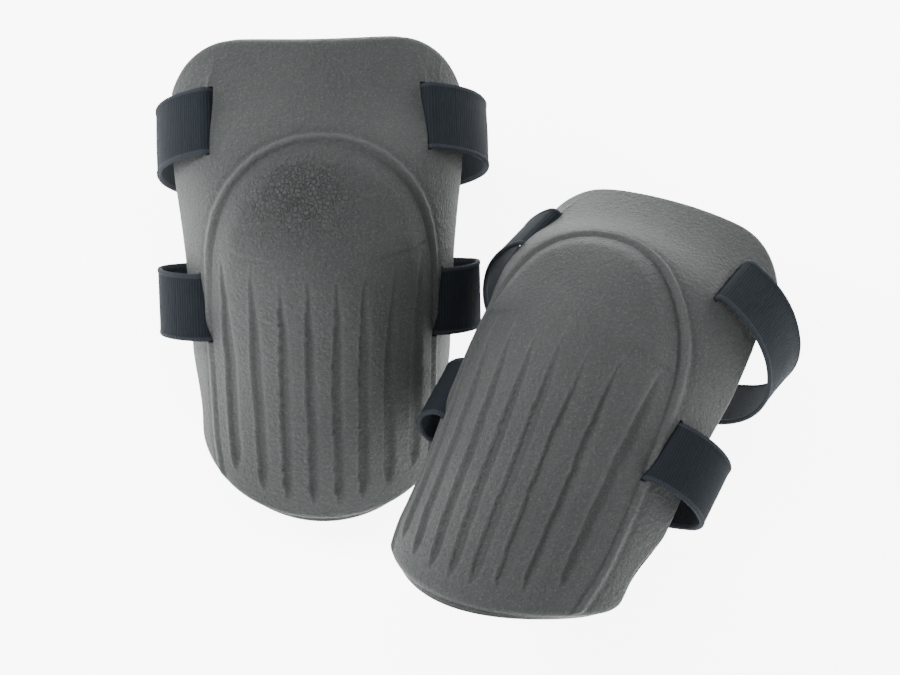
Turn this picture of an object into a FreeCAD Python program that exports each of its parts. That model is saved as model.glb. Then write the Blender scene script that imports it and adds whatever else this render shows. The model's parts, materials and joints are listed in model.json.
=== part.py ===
import FreeCAD, Part
import math
import os

from FreeCAD import Placement, Rotation, Vector

# A pair of one-piece foam knee pads, each held to the leg by two elastic straps.
#
# Pad frame: X across the pad, Y from the shin end to the thigh end, Z out of the dome.
# Strap frame: X away from the pad's middle, Y towards the back of the knee, Z along the slot.
# The pair lies dome up: +Z is up, and the origin is under the middle of the pair.

DIMENSIONS = {
    # foam shell
    "wing_thickness": 8.0,
    "wing_flare": 1.03,
    "rounding_half_width": 69.5,
    "rounding_length": 53.7,
    "rounding_centre_y": -80.0,
    "corner_centre_x": 46.5,
    "corner_centre_y": 97.5,
    "corner_radius": 36.5,
    "brow_dip": 1.4,
    "trim_half_width": 88.0,
    "trim_height": 320.0,
    "slot_length": 39.0,
    "slot_gap": 3.2,
    "slot_depth": 44.0,
    # straps
    "strap_width": 38.0,
    "strap_thickness": 2.0,
    "mouth_gap": 0.3,
    "fold_gap": 1.4,
    "ring_clearance": 0.05,
    "tail_length": 9.0,
    "bar_radius": 2.0,
    "bar_length": 46.0,
    "bar_edge": 0.6,
    # hook-and-loop closure
    "patch_thickness": 1.2,
    "patch_width": 34.0,
    "patch_gap": 0.5,
    "lap_past_middle": 45.0,
    "tuck_past_middle": 18.0,
    "hook_patch_start": -42.0,
    "hook_patch_end": 2.0,
    "loop_patch_start": -52.0,
    "loop_patch_end": 15.0,
    # stitching
    "stitch_length": 2.6,
    "stitch_width": 0.6,
    "stitch_height": 0.35,
    "stitch_pitch": 5.2,
    "stitch_inset": 2.2,
    # placing of the pair
    "left_x": -82.7,
    "left_y": 26.3,
    "left_z": 125.7,
    "left_heading": 1.6,
    "left_pitch": 12.0,
    "left_roll": 3.0,
    "right_x": 39.5,
    "right_y": -10.2,
    "right_z": 149.8,
    "right_heading": -31.9,
    "right_pitch": -21.7,
    "right_roll": -25.4,
}

# Cross-sections of the shell: distance along the pad, half width, height of the crown line,
# depth of the ellipse that the section is cut from, and foam thickness at the crown.
STATIONS = {
    "toe": (-136.0, 64.0, -68.0, 43.0, 6.0),
    "calf": (-100.0, 69.0, -49.5, 68.0, 10.0),
    "shin": (-65.0, 72.0, -31.0, 92.0, 13.0),
    "middle": (-30.0, 74.0, -13.5, 101.0, 14.0),
    "knee": (5.0, 75.5, 1.5, 102.0, 14.0),
    "dome": (40.0, 78.5, 5.5, 93.0, 14.0),
    "brow": (70.0, 81.5, 3.7, 78.0, 13.0),
    "flange": (100.0, 81.5, -11.5, 60.0, 10.0),
    "crest": (136.0, 81.5, -22.0, 44.0, 7.0),
}

# Straps: middle of the slot, tilt of the slot line, slope of the wing there, depth of the
# retaining bar, how far back each half is widest, and then, for each pad, how far out the two
# halves bulge, how far back they close behind the leg and the radius that they close on.
STRAPS = {
    "upper": {
        "slot_x": 61.0,
        "slot_y": 89.5,
        "slot_z": -22.7,
        "tilt": 12.0,
        "slope": 40.0,
        "bar_depth": 18.6,
        "widest_back": 46.0,
        "left_hook_bulge": 28.0,
        "left_loop_bulge": 34.0,
        "left_reach": 114.4,
        "left_back_radius": 115.0,
        "right_hook_bulge": 29.0,
        "right_loop_bulge": 29.0,
        "right_reach": 90.6,
        "right_back_radius": 200.0,
    },
    "lower": {
        "slot_x": 66.5,
        "slot_y": -12.75,
        "slot_z": -51.6,
        "tilt": -10.0,
        "slope": 68.0,
        "bar_depth": 18.6,
        "widest_back": 30.0,
        "left_hook_bulge": 24.0,
        "left_loop_bulge": 23.0,
        "left_reach": 52.0,
        "left_back_radius": 230.0,
        "right_hook_bulge": 23.0,
        "right_loop_bulge": 19.5,
        "right_reach": 56.0,
        "right_back_radius": 210.0,
    },
}

STATION_KEYS = ("along", "half_width", "crown", "ellipse", "thickness")
SIDES = {"inner": -1, "outer": 1}
PADS = {"left": -1, "right": 1}
SECTION_POINTS = 13


def make_sheet(doc):
    """The driving dimensions, one named cell each."""
    sheet = doc.addObject("Spreadsheet::Sheet", "dims")
    values = dict(DIMENSIONS)
    for name, numbers in STATIONS.items():
        for key, value in zip(STATION_KEYS, numbers):
            values["%s_%s" % (name, key)] = value
    for name, strap in STRAPS.items():
        for key, value in strap.items():
            values[name + "_" + key] = value
    for row, (alias, value) in enumerate(values.items(), start=1):
        sheet.set("A%d" % row, alias)
        sheet.set("B%d" % row, "%g" % value)
        sheet.setAlias("B%d" % row, alias)
    doc.recompute()
    return sheet


def pad_placement(sheet, pad):
    """Where one pad lies: heading about Z, then pitch about its width, then roll about its length."""
    heading = Rotation(Vector(0, 0, 1), sheet.get(pad + "_heading"))
    pitch = Rotation(Vector(1, 0, 0), sheet.get(pad + "_pitch"))
    roll = Rotation(Vector(0, 1, 0), sheet.get(pad + "_roll"))
    place = Vector(sheet.get(pad + "_x"), sheet.get(pad + "_y"), sheet.get(pad + "_z"))
    return Placement(place, heading * pitch * roll)


def slot_placement(sheet, strap, side):
    """The strap frame at the mouth of one slot, within the pad frame."""
    tilt = math.radians(sheet.get(strap + "_tilt"))
    outward = Vector(side, 0, 0)
    backward = Vector(0, -math.sin(tilt), -math.cos(tilt))
    rotation = Rotation(outward, backward, outward.cross(backward), "XYZ")
    place = Vector(
        side * sheet.get(strap + "_slot_x"),
        sheet.get(strap + "_slot_y"),
        sheet.get(strap + "_slot_z"),
    )
    return Placement(place, rotation)


def section_curve(half_width, crown, depth, flare, wing, thickness):
    """A spline along one face of a cross-section, wing to wing, inset from the outer ellipse."""
    wide = flare * half_width - wing
    deep = depth - thickness
    end = math.asin(1.0 / flare)
    points = []
    for i in range(SECTION_POINTS):
        angle = end * (2.0 * i / (SECTION_POINTS - 1) - 1.0)
        across = wide * math.sin(angle)
        height = crown - depth + deep * math.cos(angle)
        points.append(Vector(across, height, 0))
    curve = Part.BSplineCurve()
    curve.interpolate(points)
    return curve, points[0], points[-1]


def make_section(doc, sheet, pad, name):
    """One C-shaped cross-section of the shell, as a sketch standing across the pad."""
    sketch = doc.addObject("Sketcher::SketchObject", "%s_%s_section" % (pad, name))
    size = [sheet.get(name + key) for key in ("_half_width", "_crown", "_ellipse")]
    flare = sheet.get("wing_flare")
    outer, outer_start, outer_end = section_curve(*size, flare, 0.0, 0.0)
    inner, inner_start, inner_end = section_curve(
        *size, flare, sheet.get("wing_thickness"), sheet.get(name + "_thickness")
    )
    sketch.addGeometry(outer)
    sketch.addGeometry(Part.LineSegment(outer_end, inner_end))
    sketch.addGeometry(inner)
    sketch.addGeometry(Part.LineSegment(inner_start, outer_start))
    sketch.Placement = Placement(Vector(), Rotation(Vector(1, 0, 0), 90))
    sketch.setExpression(".Placement.Base.y", "dims.%s_along" % name)
    return sketch


def make_front_outline(doc, sheet, pad):
    """The pad's outline seen from the front: a rounded toe, straight sides and rounded top corners."""
    half_width = sheet.get("rounding_half_width")
    toe = sheet.get("rounding_length")
    toe_y = sheet.get("rounding_centre_y")
    wide = sheet.get("trim_half_width")
    corner_x = sheet.get("corner_centre_x")
    corner_y = sheet.get("corner_centre_y")
    radius = sheet.get("corner_radius")
    top = corner_y + radius
    side_x = corner_x + radius
    diagonal = radius * math.sqrt(0.5)

    toe_points = []
    for i in range(SECTION_POINTS):
        angle = math.pi * (1.0 + i / (SECTION_POINTS - 1.0))
        toe_points.append(Vector(half_width * math.cos(angle), toe_y + toe * math.sin(angle), 0))
    toe_curve = Part.BSplineCurve()
    toe_curve.interpolate(toe_points)

    sketch = doc.addObject("Sketcher::SketchObject", pad + "_front_outline")
    sketch.addGeometry(toe_curve)
    for sign in (-1, 1):
        hip = Vector(sign * wide, 0, 0)
        shoulder = Vector(sign * side_x, corner_y, 0)
        sketch.addGeometry(Part.LineSegment(Vector(sign * half_width, toe_y, 0), hip))
        sketch.addGeometry(Part.LineSegment(hip, shoulder))
        middle = Vector(sign * (corner_x + diagonal), corner_y + diagonal, 0)
        sketch.addGeometry(Part.Arc(shoulder, middle, Vector(sign * corner_x, top, 0)))
    dip = Vector(0, top - sheet.get("brow_dip"), 0)
    sketch.addGeometry(Part.Arc(Vector(-corner_x, top, 0), dip, Vector(corner_x, top, 0)))
    return sketch


def make_shell(doc, sheet, pad):
    """The moulded foam: lofted sections, trimmed to the front outline, with four slots."""
    loft = doc.addObject("Part::Loft", pad + "_shell_loft")
    loft.Sections = [make_section(doc, sheet, pad, name) for name in STATIONS]
    loft.Solid = True
    loft.Ruled = False

    outline = doc.addObject("Part::Extrusion", pad + "_outline_block")
    outline.Base = make_front_outline(doc, sheet, pad)
    outline.DirMode = "Normal"
    outline.Symmetric = True
    outline.Solid = True
    outline.setExpression("LengthFwd", "dims.trim_height")

    trimmed = doc.addObject("Part::Common", pad + "_shell_trimmed")
    trimmed.Base = loft
    trimmed.Tool = outline

    cutters = []
    for strap in STRAPS:
        for side_name, side in SIDES.items():
            cutter = doc.addObject("Part::Box", "%s_%s_%s_slot" % (pad, strap, side_name))
            cutter.setExpression("Length", "dims.slot_gap")
            cutter.setExpression("Width", "dims.slot_depth")
            cutter.setExpression("Height", "dims.slot_length")
            centred = Vector(
                -sheet.get("slot_gap") / 2,
                -sheet.get("slot_depth") / 2,
                -sheet.get("slot_length") / 2,
            )
            turn = Rotation(Vector(0, 0, 1), sheet.get(strap + "_slope"))
            local = Placement(Vector(), turn) * Placement(centred, Rotation())
            cutter.Placement = slot_placement(sheet, strap, side) * local
            cutters.append(cutter)
    slots = doc.addObject("Part::MultiFuse", pad + "_slots")
    slots.Shapes = cutters

    shell = doc.addObject("Part::Cut", pad + "_foam_shell")
    shell.Base = trimmed
    shell.Tool = slots
    shell.Placement = pad_placement(sheet, pad)
    return shell


def loop_arcs(sheet, strap, pad, kind, spread):
    """The centre line of one strap half as three tangent arcs, in the strap frame.

    Each arc is (centre, radius, start angle, end angle), the angles measured from +X to +Y.
    The first arc leaves the slot and runs out to the widest point, the second turns the side,
    and the last closes behind the leg. The last arcs of both halves share their centre, and
    spread is how much further back this half closes than the one next to the leg.
    """
    stem = "%s_%s_" % (strap, pad)
    bulge = sheet.get(stem + kind + "_bulge")
    widest_back = sheet.get(strap + "_widest_back")
    heading = 2.0 * math.atan(widest_back / bulge) - math.pi / 2
    first_radius = bulge / (1.0 - math.sin(heading))
    first_centre = Vector(bulge - first_radius, widest_back, 0)

    inner_radius = sheet.get(stem + "back_radius")
    back_centre = Vector(-sheet.get(strap + "_slot_x"), sheet.get(stem + "reach") - inner_radius, 0)
    back_radius = inner_radius + spread
    across = bulge - back_centre.x
    back = widest_back - back_centre.y
    side_radius = (back_radius**2 - across**2 - back**2) / (2.0 * (back_radius - across))
    side_centre = Vector(bulge - side_radius, widest_back, 0)
    turn = math.atan2(back, across - side_radius)
    return [
        (first_centre, first_radius, heading - math.pi / 2, 0.0),
        (side_centre, side_radius, 0.0, turn),
        (back_centre, back_radius, turn, math.pi / 2),
    ]


def past_middle(arc, distance):
    """The back arc, run on past the middle of the leg by a distance, or stopped short of it."""
    centre, radius, start, _ = arc
    return (centre, radius, start, math.pi / 2 + math.asin(distance / radius))


def arc_edge(arc, offset, reverse=False):
    """One edge of a strap: its arc, offset outwards, as a three-point arc."""
    centre, radius, start, end = arc
    angles = [start, (start + end) / 2, end]
    if reverse:
        angles.reverse()
    points = []
    for angle in angles:
        points.append(centre + Vector(math.cos(angle), math.sin(angle), 0) * (radius + offset))
    return Part.Arc(*points), points[0], points[-1]


def add_ribbon(sketch, arcs, low, high):
    """A closed profile between two offsets of a run of tangent arcs."""
    far = [arc_edge(arc, high) for arc in arcs]
    near = [arc_edge(arc, low, reverse=True) for arc in reversed(arcs)]
    for edge, _, _ in far + near:
        sketch.addGeometry(edge)
    sketch.addGeometry(Part.LineSegment(far[-1][2], near[0][1]))
    sketch.addGeometry(Part.LineSegment(near[-1][2], far[0][1]))


def make_ribbon(doc, sheet, name, arcs, low, high, width_cell, placement):
    """A band of constant thickness that follows arcs, as a body with one symmetric pad."""
    body = doc.addObject("PartDesign::Body", name)
    sketch = body.newObject("Sketcher::SketchObject", name + "_profile")
    plane = [f for f in body.Origin.OriginFeatures if f.Role == "XY_Plane"][0]
    sketch.AttachmentSupport = (plane, [""])
    sketch.MapMode = "FlatFace"
    add_ribbon(sketch, arcs, low, high)
    pad = body.newObject("PartDesign::Pad", name + "_pad")
    pad.Profile = sketch
    pad.SideType = "Symmetric"
    pad.setExpression("Length", "dims." + width_cell)
    body.Placement = placement
    return body


def make_anchor(doc, sheet, pad, strap, side_name, place):
    """The sewn end of a strap: it passes through the slot and wraps round its retaining bar."""
    stem = "%s_%s_%s" % (pad, strap, side_name)
    thickness = sheet.get("strap_thickness")
    width = sheet.get("strap_width")
    depth = sheet.get(strap + "_bar_depth")
    gap = sheet.get("mouth_gap")
    turn = Placement(Vector(), Rotation(Vector(0, 0, 1), sheet.get(strap + "_slope")))
    local = place * turn

    strip = doc.addObject("Part::Box", stem + "_anchor_strip")
    strip.setExpression("Length", "dims.strap_thickness")
    strip.setExpression("Width", "dims.%s_bar_depth - dims.mouth_gap" % strap)
    strip.setExpression("Height", "dims.strap_width")
    strip.Placement = Placement(Vector(-thickness / 2, gap, -width / 2), Rotation())

    tail = doc.addObject("Part::Box", stem + "_anchor_tail")
    tail.setExpression("Length", "dims.strap_thickness")
    tail.setExpression("Width", "dims.tail_length")
    tail.setExpression("Height", "dims.strap_width")

    ring_outer = doc.addObject("Part::Cylinder", stem + "_anchor_wrap")
    ring_outer.setExpression(
        "Radius", "dims.bar_radius + dims.ring_clearance + dims.strap_thickness"
    )
    ring_outer.setExpression("Height", "dims.strap_width")
    ring_bore = doc.addObject("Part::Cylinder", stem + "_anchor_bore")
    ring_bore.setExpression("Radius", "dims.bar_radius + dims.ring_clearance")
    ring_bore.setExpression("Height", "dims.strap_width")
    for cylinder in (ring_outer, ring_bore):
        cylinder.Placement = Placement(Vector(0, depth, -width / 2), Rotation())

    # The tail lies along the pad's inner face, square to the slot, and points to the wing.
    inner_face = depth - sheet.get("bar_radius") - sheet.get("ring_clearance") - thickness
    tail.Placement = Placement(
        Vector(0, inner_face + thickness, -width / 2), Rotation(Vector(0, 0, 1), -90)
    )

    cloth = doc.addObject("Part::MultiFuse", stem + "_anchor_cloth")
    cloth.Shapes = [strip, ring_outer, tail]
    anchor = doc.addObject("Part::Cut", stem + "_strap_anchor")
    anchor.Base = cloth
    anchor.Tool = ring_bore
    anchor.Placement = local

    rod = doc.addObject("Part::Cylinder", stem + "_bar_rod")
    rod.setExpression("Radius", "dims.bar_radius")
    rod.setExpression("Height", "dims.bar_length")
    rod.Placement = local * Placement(Vector(0, depth, -sheet.get("bar_length") / 2), Rotation())
    doc.recompute()
    bar = doc.addObject("Part::Fillet", stem + "_retaining_bar")
    bar.Base = rod
    edge = sheet.get("bar_edge")
    circles = [
        i for i, e in enumerate(rod.Shape.Edges, start=1) if isinstance(e.Curve, Part.Circle)
    ]
    bar.Edges = [(i, edge, edge) for i in circles]
    return anchor, bar


def stitch_group(doc, sheet, name, spots, placement):
    """Thread stitches as one group: each spot is (place, direction) in the strap frame."""
    length = sheet.get("stitch_length")
    width = sheet.get("stitch_width")
    height = sheet.get("stitch_height")
    solids = []
    for place, direction, outward in spots:
        stitch = Part.makeBox(length, height, width, Vector(-length / 2, 0, -width / 2))
        frame = Rotation(direction, outward, direction.cross(outward), "XYZ")
        stitch.Placement = Placement(place, frame)
        solids.append(stitch)
    group = doc.addObject("Part::Feature", name)
    group.Shape = Part.makeCompound(solids)
    group.Placement = placement
    return group


def stitch_spots(sheet, arc, offset, start, end):
    """Two rows of stitches along a patch, between two distances from the middle of the leg."""
    centre, radius, _, _ = arc
    lift = 0.02
    edge = sheet.get("patch_width") / 2 - sheet.get("stitch_inset")
    pitch = sheet.get("stitch_pitch")
    count = int((end - start) / pitch)
    spots = []
    for i in range(count):
        distance = start + (i + 0.5) * (end - start) / count
        angle = math.pi / 2 - math.asin(distance / radius)
        outward = Vector(math.cos(angle), math.sin(angle), 0)
        along = Vector(math.sin(angle), -math.cos(angle), 0)
        for row in (-edge, edge):
            place = centre + outward * (radius + offset + lift) + Vector(0, 0, row)
            spots.append((place, along, outward))
    return spots


def make_closure(doc, sheet, pad, strap, place, hooked):
    """One moving half of a strap, its hook or loop patch, and the patch's stitching."""
    half = sheet.get("strap_thickness") / 2
    patch = sheet.get("patch_thickness")
    spread = 2 * half + 2 * patch + sheet.get("patch_gap")
    kind = "hook" if hooked else "loop"
    stem = "%s_%s_%s" % (pad, strap, kind)
    arcs = loop_arcs(sheet, strap, pad, kind, spread if hooked else 0.0)
    reach = sheet.get("lap_past_middle") if hooked else sheet.get("tuck_past_middle")
    arcs[-1] = past_middle(arcs[-1], reach)
    mouth = sheet.get("fold_gap") / arcs[0][1]
    arcs[0] = (arcs[0][0], arcs[0][1], arcs[0][2] + mouth, arcs[0][3])
    band = make_ribbon(doc, sheet, stem + "_strap", arcs, -half, half, "strap_width", place)

    # Distances run away from the slot side, so the hook patch lies on the far end of its half.
    start = sheet.get(kind + "_patch_start")
    end = sheet.get(kind + "_patch_end")
    centre, radius, _, _ = arcs[-1]
    if hooked:
        first, last = -end, -start
    else:
        first, last = start, end
    patch_arc = (
        centre,
        radius,
        math.pi / 2 + math.asin(first / radius),
        math.pi / 2 + math.asin(last / radius),
    )
    low, high = (-half - patch, -half) if hooked else (half, half + patch)
    cover = make_ribbon(
        doc, sheet, stem + "_patch", [patch_arc], low, high, "patch_width", place
    )
    face = half if hooked else -half - sheet.get("stitch_height") - 0.04
    spots = stitch_spots(sheet, arcs[-1], face, -last, -first)
    stitches = stitch_group(doc, sheet, stem + "_patch_stitches", spots, place)
    return [band, cover, stitches]


def make_anchor_stitches(doc, sheet, pad, places):
    """The stitch rows that hold each folded strap end round its bar, as one group."""
    rows = 2
    pitch = sheet.get("stitch_pitch")
    count = int(sheet.get("strap_width") / pitch)
    bar = sheet.get("bar_radius") + sheet.get("ring_clearance") + sheet.get("strap_thickness")
    lift = 0.02
    solids = []
    for strap, local in places:
        face = sheet.get(strap + "_bar_depth") - bar + sheet.get("strap_thickness") + lift
        for row in range(rows):
            across = bar + 1.6 + 2.0 * row
            for i in range(count):
                along = (i + 0.5 - count / 2.0) * pitch
                stitch = Part.makeBox(
                    sheet.get("stitch_width"),
                    sheet.get("stitch_height"),
                    sheet.get("stitch_length"),
                    Vector(across, face, along - sheet.get("stitch_length") / 2),
                )
                stitch.Placement = local * stitch.Placement
                solids.append(stitch)
    group = doc.addObject("Part::Feature", pad + "_anchor_stitches")
    group.Shape = Part.makeCompound(solids)
    return group


def make_pad(doc, sheet, pad):
    """All the pieces of one knee pad. The hook half of each strap is on the outer side."""
    nodes = [make_shell(doc, sheet, pad)]
    pad_place = pad_placement(sheet, pad)
    slope_places = []
    for strap in STRAPS:
        for side_name, side in SIDES.items():
            place = pad_place * slot_placement(sheet, strap, side * PADS[pad])
            turn = Rotation(Vector(0, 0, 1), sheet.get(strap + "_slope"))
            slope_places.append((strap, place * Placement(Vector(), turn)))
            nodes += make_anchor(doc, sheet, pad, strap, side_name, place)
            nodes += make_closure(doc, sheet, pad, strap, place, side_name == "outer")
    nodes.append(make_anchor_stitches(doc, sheet, pad, slope_places))
    return nodes


def check(doc, nodes):
    """Stops before anything is written if an object failed or a shape is empty or invalid."""
    for obj in doc.Objects:
        bad = {"Invalid", "Error"} & set(obj.State)
        if bad:
            raise RuntimeError("%s is %s" % (obj.Name, ", ".join(sorted(bad))))
    for node in nodes:
        if node.Shape.isNull() or not node.Shape.isValid():
            raise RuntimeError("%s has no valid shape" % node.Name)
        if not node.Shape.Solids:
            raise RuntimeError("%s has no solid" % node.Name)


def main():
    doc = FreeCAD.newDocument("knee_pads")
    sheet = make_sheet(doc)
    nodes = []
    for pad in PADS:
        nodes += make_pad(doc, sheet, pad)
    doc.recompute()
    for node in nodes:
        node.Label = node.Name
    check(doc, nodes)
    os.makedirs("parts", exist_ok=True)
    for node in nodes:
        node.Shape.exportStep("parts/%s.step" % node.Label)
    return doc, sheet, nodes


DOCUMENT, SHEET, NODES = main()
for item in NODES:
    box = item.Shape.BoundBox
    print(
        "%-34s %9.1f mm3  z %6.1f to %6.1f" % (item.Label, item.Shape.Volume, box.ZMin, box.ZMax)
    )
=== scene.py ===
import json
import math

import bmesh
import bpy
import numpy as np
from mathutils import Matrix, Vector
from mathutils.kdtree import KDTree


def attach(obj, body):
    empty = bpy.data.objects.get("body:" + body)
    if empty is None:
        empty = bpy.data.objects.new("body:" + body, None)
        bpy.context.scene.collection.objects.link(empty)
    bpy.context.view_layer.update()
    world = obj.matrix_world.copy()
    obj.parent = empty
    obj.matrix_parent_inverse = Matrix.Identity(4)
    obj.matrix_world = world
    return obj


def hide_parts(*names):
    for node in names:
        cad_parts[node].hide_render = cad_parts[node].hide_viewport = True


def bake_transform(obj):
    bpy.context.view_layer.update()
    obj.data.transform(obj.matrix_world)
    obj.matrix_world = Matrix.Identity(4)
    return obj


# Looks for the pair of foam knee pads: moulded shells, elastic straps, tapes, thread and a studio.
# Lengths in the tables are in millimetres in the pad's own frame; MM turns them into metres.

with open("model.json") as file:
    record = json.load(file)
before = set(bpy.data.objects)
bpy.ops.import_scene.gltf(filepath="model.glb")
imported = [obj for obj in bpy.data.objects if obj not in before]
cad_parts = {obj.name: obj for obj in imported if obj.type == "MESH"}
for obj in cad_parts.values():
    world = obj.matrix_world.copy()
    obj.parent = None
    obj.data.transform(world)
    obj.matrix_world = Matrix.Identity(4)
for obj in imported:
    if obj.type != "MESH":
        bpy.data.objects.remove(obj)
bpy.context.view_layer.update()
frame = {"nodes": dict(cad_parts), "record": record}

MM = 0.001
PADS = {"left": -1, "right": 1}
STRAPS = ("upper", "lower")
KINDS = {"hook": 1, "loop": -1}

# Sections of the shell, toe to brow: distance along, half width, crown height, ellipse depth, thickness.
STATIONS = np.array([
    (-136.0, 64.0, -68.0, 43.0, 6.0),
    (-100.0, 69.0, -49.5, 68.0, 10.0),
    (-65.0, 72.0, -31.0, 92.0, 13.0),
    (-30.0, 74.0, -13.5, 101.0, 14.0),
    (5.0, 75.5, 1.5, 102.0, 14.0),
    (40.0, 78.5, 5.5, 93.0, 14.0),
    (70.0, 81.5, 3.7, 78.0, 13.0),
    (100.0, 81.5, -11.5, 60.0, 10.0),
    (136.0, 81.5, -22.0, 44.0, 7.0),
])
# How much wider the section's ellipse is than the outline, and the thickness of the wings.
FLARE, WING = 1.03, 8.0
# Outline: straight sides, half ellipse at the toe, rounded corners and a dipped edge at the brow.
SIDE_HALF = 81.5
TOE_HALF, TOE_LONG, TOE_Y = 69.5, 53.7, -80.0
CORNER_X, CORNER_Y, CORNER_R, BROW_DIP = 46.5, 97.5, 36.5, 1.4
# Radius of the outer and inner edge of the rim.
RIM_OUTER, RIM_INNER = 3.4, 2.2

# Mouth of each slot; tilt and slope in degrees; depth of the bar behind it; where the strap bulges most.
SLOT = {
    "upper": {
        "x": 61.0, "y": 89.5, "z": -22.7, "tilt": 12.0, "slope": 40.0, "bar": 18.6, "widest": 46.0,
    },
    "lower": {
        "x": 66.5, "y": -12.75, "z": -51.6, "tilt": -10.0, "slope": 68.0, "bar": 18.6, "widest": 30.0,
    },
}
# Hook bulge, loop bulge, reach and back radius of each strap on each pad.
LOOPS = {
    ("upper", "left"): (28.0, 34.0, 114.4, 115.0),
    ("upper", "right"): (29.0, 29.0, 90.6, 200.0),
    ("lower", "left"): (24.0, 23.0, 52.0, 230.0),
    ("lower", "right"): (23.0, 19.5, 56.0, 210.0),
}
STRAP_HALF, STRAP_WIDTH, SELVEDGE = 1.0, 38.0, 0.3
PATCH, PATCH_WIDTH, PATCH_GAP = 1.2, 34.0, 0.5
# Where each tape starts and ends, and how far each half runs past the middle of the leg.
PATCH_SPAN = {"hook": (-42.0, 2.0), "loop": (-52.0, 15.0)}
PAST_MIDDLE = {"hook": 45.0, "loop": 18.0}
BAR_RADIUS, TAIL = 2.05, 9.0
SLOT_GAP, SLOT_LENGTH, SLOT_DEPTH = 2.9, 39.5, 44.0
STITCH_PITCH, STITCH_INSET, STITCH_LENGTH, STITCH_RADIUS = 5.2, 2.2, 2.6, 0.32
ANCHOR_ROWS = (5.95, 7.95)

# The arch bead round the dome, from the crown down one side.
ARCH = np.array([
    (0.0, 77.7), (12.5, 76.6), (24.5, 72.8), (34.8, 67.6), (43.3, 60.5), (49.6, 53.6), (54.3, 46.4),
    (58.2, 38.0), (60.7, 29.0), (62.6, 18.0), (63.2, 6.0), (63.3, -12.0), (63.1, -30.0),
    (62.4, -55.0), (61.4, -84.0), (59.5, -104.0), (54.0, -124.0), (47.0, -140.0),
])
# Distance of each flute from the centre line, and how wide and deep a flute gets.
FLUTE_X = (7.7, 23.0, 38.5, 54.0)
FLUTE_HALF, FLUTE_DEPTH = 2.9, 2.1
# Heights above the plain shell.
BEAD_RISE, DOME_RISE, RIB_RISE, LIP_RISE = 1.6, 2.3, 0.55, 0.28
# The rib line across the dome, where the flutes start.
RIB_TOP = np.array([(0.0, 8.6), (6.0, 8.7), (22.0, 9.8), (38.0, 13.6), (51.0, 18.2), (58.0, 21.0)])


# ---------------------------------------------------------------- small helpers

def spline(x, xs, ys):
    """Natural cubic spline through the stations."""
    xs = np.asarray(xs, float)
    ys = np.asarray(ys, float)
    n = len(xs)
    h = np.diff(xs)
    a = np.eye(n)
    b = np.zeros(n)
    for i in range(1, n - 1):
        a[i, i - 1:i + 2] = h[i - 1], 2 * (h[i - 1] + h[i]), h[i]
        b[i] = 6 * ((ys[i + 1] - ys[i]) / h[i] - (ys[i] - ys[i - 1]) / h[i - 1])
    m = np.linalg.solve(a, b)
    k = np.clip(np.searchsorted(xs, x) - 1, 0, n - 2)
    t = np.asarray(x, float) - xs[k]
    slope = (ys[k + 1] - ys[k]) / h[k] - h[k] * (2 * m[k] + m[k + 1]) / 6
    return ys[k] + t * (slope + t * (m[k] / 2 + t * (m[k + 1] - m[k]) / (6 * h[k])))


def smooth(x, low, high):
    """0 below low, 1 above high, smooth between."""
    t = np.clip((x - low) / (high - low), 0.0, 1.0)
    return t * t * (3 - 2 * t)


def bump(x, width):
    """A bell of height 1 and the given width about 0."""
    return np.exp(-(x / width) ** 2)


def value_noise(x, y, seed):
    """Smooth noise between -1 and 1 on arrays, from a fixed random lattice."""
    lattice = np.random.default_rng(seed).uniform(-1, 1, (64, 64))
    xi, yi = np.floor(x).astype(int), np.floor(y).astype(int)
    fx, fy = x - xi, y - yi
    fx, fy = fx * fx * (3 - 2 * fx), fy * fy * (3 - 2 * fy)

    def get(i, j):
        return lattice[(xi + i) % 64, (yi + j) % 64]

    low = get(0, 0) * (1 - fx) + get(1, 0) * fx
    high = get(0, 1) * (1 - fx) + get(1, 1) * fx
    return low * (1 - fy) + high * fy


def running_length(points):
    """Distance along a path up to each of its points."""
    steps = np.linalg.norm(np.diff(points, axis=0), axis=1)
    return np.concatenate([[0], np.cumsum(steps)])


def slope_directions(strap):
    """The slot's two directions in the strap's frame: across its gap, and down through the foam."""
    slope = math.radians(SLOT[strap]["slope"])
    ex = np.array([math.cos(slope), math.sin(slope), 0.0])
    ey = np.array([-math.sin(slope), math.cos(slope), 0.0])
    return ex, ey


def add_object(name, data):
    """A new object in the scene for a mesh, light or camera."""
    obj = bpy.data.objects.new(name, data)
    bpy.context.scene.collection.objects.link(obj)
    return obj


def new_mesh(name, verts, faces, material):
    """A smooth-shaded mesh object with one material."""
    mesh = bpy.data.meshes.new(name)
    mesh.from_pydata([tuple(v) for v in verts], [], [tuple(f) for f in faces])
    mesh.validate()
    mesh.polygons.foreach_set("use_smooth", [True] * len(mesh.polygons))
    mesh.materials.append(material)
    return add_object(name, mesh)


def joint_named(name):
    """The record's joint of that name."""
    for joint in frame["record"]["behaviour"]["joints"]:
        if joint["name"] == name:
            return joint
    raise KeyError(name)


def pad_matrix(pad):
    """The pad's own frame, found from where the record puts its two strap hinges."""
    side = PADS[pad]
    upper = joint_named(pad + "_upper_hook_swing")
    lower = joint_named(pad + "_lower_hook_swing")
    upper_axis = Vector(upper["axis"]).normalized()
    across = upper_axis.cross(Vector(lower["axis"])).normalized()
    tilt = math.radians(SLOT["upper"]["tilt"])
    u = -side * upper_axis
    v = across.cross(u)
    along = math.cos(tilt) * u + math.sin(tilt) * v
    out = -math.sin(tilt) * u + math.cos(tilt) * v
    matrix = Matrix((across, along, out)).transposed()
    mouth = Vector((side * SLOT["upper"]["x"], SLOT["upper"]["y"], SLOT["upper"]["z"])) * MM
    origin = Vector(upper["pos_m"]) - matrix @ mouth
    matrix = matrix.to_4x4()
    matrix.translation = origin
    return matrix


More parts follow.
